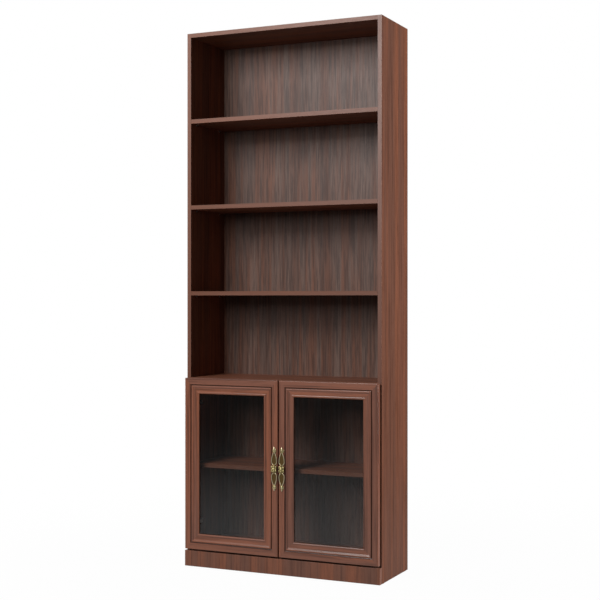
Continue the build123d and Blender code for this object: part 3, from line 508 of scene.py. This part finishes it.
CROSS_CUT = 1.2                     # height of the cutter, as a share of the head; half of it is above
TWIST_SEED = 7


def fastener():
    """Tree that sets one screw or nail on every point, with a cross in its head where asked."""
    tree, feed = new_tree("fastener", {
        "Geometry": "Geometry", "Head radius": "Float", "Head height": "Float", "Crown": "Float",
        "Cross": "Float", "Crossed": "Bool", "Shank radius": "Float", "Shank length": "Float",
        "Seed": "Int", "Finish": "Material"})
    start = feed["Geometry"]
    radius, height, cross = feed["Head radius"], feed["Head height"], feed["Cross"]
    place = start.node("GeometryNodeInputPosition")
    out = place.vectors("LENGTH", place.vectors("MULTIPLY", place, (1, 1, 0)), (0, 0, 0), out="Value")
    upper = place.part("Z") > 0.0

    def raised(mesh, lift):
        """The mesh, moved up."""
        shift = start.node("CombineXYZ", None, {"Z": lift})
        return start.node("GeometryNodeTransform", None, {"Geometry": mesh, "Translation": shift})

    disc = start.node("GeometryNodeMeshCylinder", {"fill_type": "TRIANGLE_FAN"}, {
        "Vertices": HEAD_SIDES, "Side Segments": 1, "Fill Segments": HEAD_RINGS, "Radius": radius,
        "Depth": height})
    share = out / radius
    swell = start.node("CombineXYZ", None, {"Z": upper * feed["Crown"] * (1 - share * share)})
    dome = start.node("GeometryNodeSetPosition", None, {"Geometry": disc, "Offset": swell})
    head = raised(dome, height * 0.5)
    arms = []
    for long_x, long_y in ((1.0, CROSS_ARM), (CROSS_ARM, 1.0)):
        size = start.node("CombineXYZ", None,
                          {"X": cross * long_x, "Y": cross * long_y, "Z": height * CROSS_CUT})
        arm = start.node("GeometryNodeMeshCube", None, {"Size": size})
        arms.append(raised(arm, height + feed["Crown"]))
    into_head = height * SHANK_IN_HEAD
    pin = start.node("GeometryNodeMeshCylinder", None, {
        "Vertices": SHANK_SIDES, "Radius": feed["Shank radius"],
        "Depth": feed["Shank length"] + into_head})
    shank = raised(pin, (into_head - feed["Shank length"]) * 0.5)
    plain = start.node("GeometryNodeMeshBoolean", {"operation": "UNION", "solver": "MANIFOLD"},
                       {"Mesh": [head, shank]})
    crossed = start.node("GeometryNodeMeshBoolean", {"operation": "DIFFERENCE", "solver": "MANIFOLD"},
                         {"Mesh 1": plain, "Mesh 2": arms})
    whole = start.node("GeometryNodeSwitch", {"input_type": "GEOMETRY"},
                       {"Switch": feed["Crossed"], "False": plain, "True": crossed})
    aim = start.node("GeometryNodeInputNamedAttribute", {"data_type": "FLOAT_VECTOR"}, {"Name": "aim"})
    chance = start.node("FunctionNodeRandomValue", {"data_type": "FLOAT"},
                        {2: 0.0, 3: math.pi, "Seed": feed["Seed"]}, out=1)
    twist = start.node("FunctionNodeAxisAngleToRotation", None, {"Axis": (0, 0, 1), "Angle": chance})
    stand = start.node("FunctionNodeAlignRotationToVector", {"axis": "Z"}, {"Vector": aim})
    turn = start.node("FunctionNodeRotateRotation", {"rotation_space": "LOCAL"},
                      {"Rotation": stand, "Rotate By": twist})
    many = start.node("GeometryNodeInstanceOnPoints", None,
                      {"Points": start, "Instance": whole, "Rotation": turn})
    end_tree(many, feed["Finish"])
    return tree


def seats(places):
    """Points that carry the direction in which each head looks."""
    mesh = bpy.data.meshes.new("seats")
    mesh.from_pydata([spot for spot, _ in places], [], [])
    aims = mesh.attributes.new("aim", "FLOAT_VECTOR", "POINT")
    for entry, (_, aim) in zip(aims.data, places):
        entry.vector = aim
    return mesh


def fasten(node, body, places, head, crown, cross, shank):
    """Make one CAD node's screws or nails at these places."""
    head_radius, head_height = head
    shank_radius, shank_length = shank
    sizes = {"Head radius": head_radius, "Head height": head_height - crown, "Crown": crown,
             "Cross": cross, "Crossed": cross > 0, "Shank radius": shank_radius,
             "Shank length": shank_length, "Seed": TWIST_SEED, "Finish": zinc}
    heads = grow(node + "_heads", seats(places), fastener_tree, sizes)
    hand_over(heads, node, body)


# Seats of the heads: how far out and how deep, on either side of the middle, and the heights there
REAR = (0, 1, 0)
HINGE_FROM_END = 0.100
HINGE_HEIGHTS = (DOOR_ENDS["Z"][0] + HINGE_FROM_END, DOOR_ENDS["Z"][1] - HINGE_FROM_END)
PLATE_SCREW_SEAT = (INNER_FACE - 0.0022, CARCASS_FRONT + 0.0370)
PLATE_SCREW_RISE = 0.016
ARM_SCREW_SEAT = (INNER_FACE - 0.0210, CARCASS_FRONT + 0.0460)
BLOCK_TO_SIDE_SEAT = (INNER_FACE - 0.0220, CARCASS_FRONT + 0.0110)
BLOCK_TO_SIDE_HEIGHTS = (0.020, 0.040)
BLOCK_TO_PLINTH_SEAT = (INNER_FACE - 0.0110, CARCASS_FRONT + 0.0220)
BLOCK_TO_PLINTH_HEIGHTS = (0.025, 0.045)
CUP_SCREW_SEAT = (DOOR_ENDS["X"][1] - 0.0265, DOOR_BACK + 0.0012)
CUP_SCREW_RISE = 0.024
HANDLE_SCREW_SEAT = (middle("right_door_handle", X), DOOR_BACK)
HANDLE_SCREW_RISE = 0.070
NAILED_BOARDS = [middle(board, Z) for board in ("bottom_panel", "fixed_shelf", "top_panel")]
NAILS_UP = 9
NAILS_ACROSS = (-0.5, 0, 0.5)       # shares of the inner half width


def column(side, seat, heights, aim):
    """Seats one above the other on one side of the middle."""
    out, deep = seat
    return [((side * out, deep, height), aim) for height in heights]


def about(heights, rise):
    """Two heights for each of these, this far below and above it."""
    return [height + way * rise for height in heights for way in (-1, 1)]


fastener_tree = fastener()
lowest, highest = NAILED_BOARDS[0], NAILED_BOARDS[-1]
nail_step = (highest - lowest) / (NAILS_UP - 1)
nail_heights = [lowest + nail_step * n for n in range(NAILS_UP)]
side_nails, plate_screws, arm_screws, block_to_side, block_to_plinth = [], [], [], [], []
for side in SIDES.values():
    inward = (-side, 0, 0)
    side_nails += column(side, (middle("right_side_panel", X), BACK_FACE), nail_heights, REAR)
    plate_screws += column(side, PLATE_SCREW_SEAT, about(HINGE_HEIGHTS, PLATE_SCREW_RISE), inward)
    arm_screws += column(side, ARM_SCREW_SEAT, HINGE_HEIGHTS, inward)
    block_to_side += column(side, BLOCK_TO_SIDE_SEAT, BLOCK_TO_SIDE_HEIGHTS, inward)
    block_to_plinth += column(side, BLOCK_TO_PLINTH_SEAT, BLOCK_TO_PLINTH_HEIGHTS, REAR)
board_nails = [((share * INNER_FACE, BACK_FACE, height), REAR)
               for height in NAILED_BOARDS for share in NAILS_ACROSS]
fasten("back_panel_nails", "carcass", side_nails + board_nails, **NAIL)
fasten("hinge_plate_screws", "carcass", plate_screws, **PLATE_SCREW)
fasten("hinge_arm_screws", "carcass", arm_screws, **ARM_SCREW)
fasten("plinth_block_screws", "carcass", block_to_side + block_to_plinth, **BLOCK_SCREW)
for hand, side in SIDES.items():
    cup_screws = column(side, CUP_SCREW_SEAT, about(HINGE_HEIGHTS, CUP_SCREW_RISE), REAR)
    fasten(f"{hand}_hinge_cup_screws", f"{hand}_door", cup_screws, **CUP_SCREW)
    handle_heights = about([middle(f"{hand}_door_handle", Z)], HANDLE_SCREW_RISE)
    handle_screws = column(side, HANDLE_SCREW_SEAT, handle_heights, REAR)
    fasten(f"{hand}_door_handle_screws", f"{hand}_door", handle_screws, **HANDLE_SCREW)


# Floor, light and camera
AMBIENT = 0.035
ROOM_IN_GLOSS = 0.28
FLOOR_REACH = 30.0
FLOOR_GREY = (0.18, 0.18, 0.18, 1)
FLOOR_GLOW = 1.03
FLOOR_SHADOW = 0.05
FLOOR_FADES = (0.6, 2.5)            # metres from the middle
# Painted pool of light: in glosses the floor glows brighter near the middle than far away
FLOOR_POOL_IN_GLOSS = 0.55
GLOSS_POOL_FALLOFF = 0.52
GLOSS_POOL_FADES = (0.4, 3.3)            # metres from the middle, over which the painted pool of light fades

# Lamps: place, the point it looks at, width and height, watts
SOFTBOXES = {
    "key": ((-0.8, -2.75, 2.8), (0.0, -0.1, 1.5), (1.2, 1.2), 86.0),
    "side": ((3.3, 0.16, 1.4), (0.41, 0.05, 1.05), (0.5, 2.4), 97.0),
    "far_side": ((-3.3, 0.26, 1.4), (-0.41, 0.10, 1.05), (0.5, 2.4), 76.0),
    "rear": ((-0.9, 3.2, 2.0), (0.0, 0.16, 1.0), (1.6, 1.6), 84.0),
    "front": ((-0.5, -4.5, 2.15), (0.0, -0.1, 0.4), (2.0, 1.2), 60.0),
}

# The lens: where it stands, how far it is turned, and how the picture is cut
LENS_PLACE = (2.0815, -4.4499, 1.0595)
LENS_TURN = math.radians(24.82)
LENS_LEVEL = math.radians(90)
LENS_LONG = 75.29
SENSOR_WIDE = 36.0
PICTURE_DROP = -0.0037


def seen_directly(shade, mirrored):
    """1 for what the lens or a pane sees, a share for what a gloss shows, 0 for light on the object."""
    rays = ("Camera", "Transmission", "Glossy")
    lens, through, gloss = [shade.node("LightPath", out=f"Is {ray} Ray") for ray in rays]
    return lens.maths("MAXIMUM", lens.maths("MAXIMUM", lens, through), gloss * mirrored)


def room():
    """White surroundings that give the object only a little light."""
    world = bpy.data.worlds.new("room")
    world.use_nodes = True
    world.node_tree.nodes.clear()
    shade = Shade(world.node_tree)
    seen = seen_directly(shade, ROOM_IN_GLOSS)
    sky = shade.node("Background", None, {"Color": WHITE, "Strength": AMBIENT + (1 - AMBIENT) * seen})
    shade.node("OutputWorld", None, {"Surface": sky})
    bpy.context.scene.world = world


def floor():
    """Pale floor that fades into the surroundings and keeps the shadow; in glosses it shows a painted pool
    of light around the object.
    """
    mesh = bpy.data.meshes.new("floor")
    corners = [(x * FLOOR_REACH, y * FLOOR_REACH, 0) for x, y in ((-1, -1), (1, -1), (1, 1), (-1, 1))]
    mesh.from_pydata(corners, [], [(0, 1, 2, 3)])
    piece = bpy.data.objects.new("floor", mesh)
    bpy.context.scene.collection.objects.link(piece)
    material, point = new_finish("pale_floor")
    away = point.vectors("LENGTH", point, (0, 0, 0), out="Value")
    far = away.between(*FLOOR_FADES)
    glow = FLOOR_GLOW + (1 - FLOOR_GLOW) * far
    matt = point.node("BsdfDiffuse", None, {"Color": FLOOR_GREY})
    lit = point.node("Emission", None, {"Color": WHITE, "Strength": glow})
    # Painted pool of light, seen only in glosses: the floor's glow there falls off with distance
    mirrored = FLOOR_POOL_IN_GLOSS - GLOSS_POOL_FALLOFF * away.between(*GLOSS_POOL_FADES)
    share = seen_directly(point, mirrored) * (1 - FLOOR_SHADOW + FLOOR_SHADOW * far)
    surface = point.node("MixShader", None, {0: share, 1: matt, 2: lit})
    point.node("OutputMaterial", None, {"Surface": surface})
    mesh.materials.append(material)


def softbox(name, place, aim, size, watts):
    """Rectangular lamp that looks at a point."""
    lamp = bpy.data.lights.new(name, "AREA")
    lamp.shape = "RECTANGLE"
    lamp.size, lamp.size_y = size
    lamp.energy = watts
    piece = bpy.data.objects.new(name, lamp)
    piece.location = place
    piece.rotation_euler = (Vector(aim) - Vector(place)).to_track_quat("-Z", "Y").to_euler()
    bpy.context.scene.collection.objects.link(piece)


def camera():
    """Level lens at the place from which the picture was taken."""
    lens = bpy.data.cameras.new("camera")
    lens.lens = LENS_LONG
    lens.sensor_width = SENSOR_WIDE
    lens.shift_y = PICTURE_DROP
    piece = bpy.data.objects.new("camera", lens)
    piece.location = LENS_PLACE
    piece.rotation_euler = (LENS_LEVEL, 0, LENS_TURN)
    bpy.context.scene.collection.objects.link(piece)
    bpy.context.scene.camera = piece


room()
floor()
for lamp_name, lamp_values in SOFTBOXES.items():
    softbox(lamp_name, *lamp_values)
camera()
bpy.context.scene.view_settings.view_transform = "Standard"
